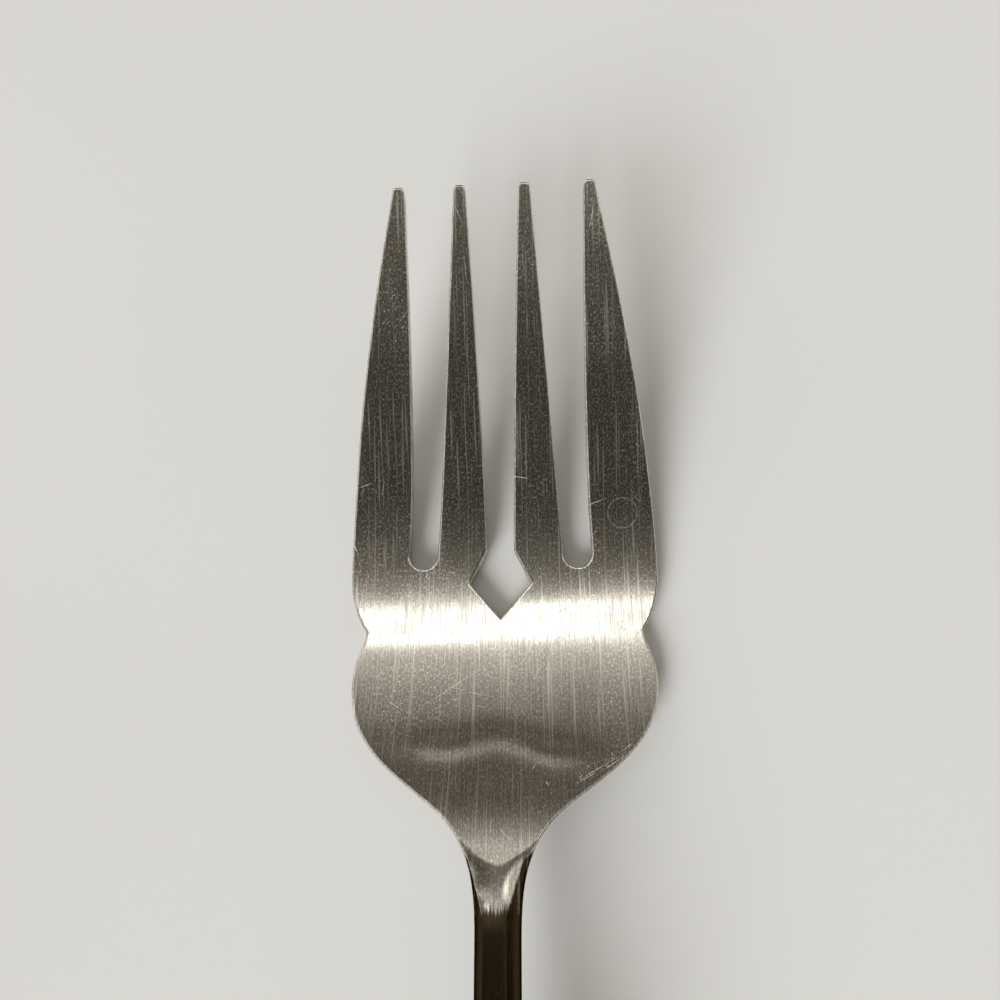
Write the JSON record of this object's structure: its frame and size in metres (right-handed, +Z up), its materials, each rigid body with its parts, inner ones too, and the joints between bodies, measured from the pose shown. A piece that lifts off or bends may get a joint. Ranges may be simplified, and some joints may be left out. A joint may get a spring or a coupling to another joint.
{
  "type": "cold meat fork",
  "caption": "Cold meat serving fork: broad tined head with a pierced diamond and a waisted spade-shaped plate, slim neck, ferrule and a hollow arched handle.",
  "frame": {"origin": "centre of the flat under the heel of the head, where the fork rests on the table", "axes": "+Y from the handle to the tine tips, +Z up from the table, +X to the right seen from the handle"},
  "size_m": [0.0422, 0.229, 0.0212],
  "materials": {
    "head_steel": "stainless steel brushed along the fork, finely scratched by use",
    "ferrule_steel": "turned stainless steel, lightly polished",
    "handle_steel": "stainless steel brushed along the handle",
    "solder": "silver solder, filed flush",
    "cement": "cast resin cement, matte"
  },
  "bodies": {
    "root": {"fork_head": "head_steel", "ferrule": "ferrule_steel", "handle_front_shell": "handle_steel", "handle_back_shell": "handle_steel", "seam_solder": "solder", "tang_cement": "cement"}
  },
  "joints": []
}
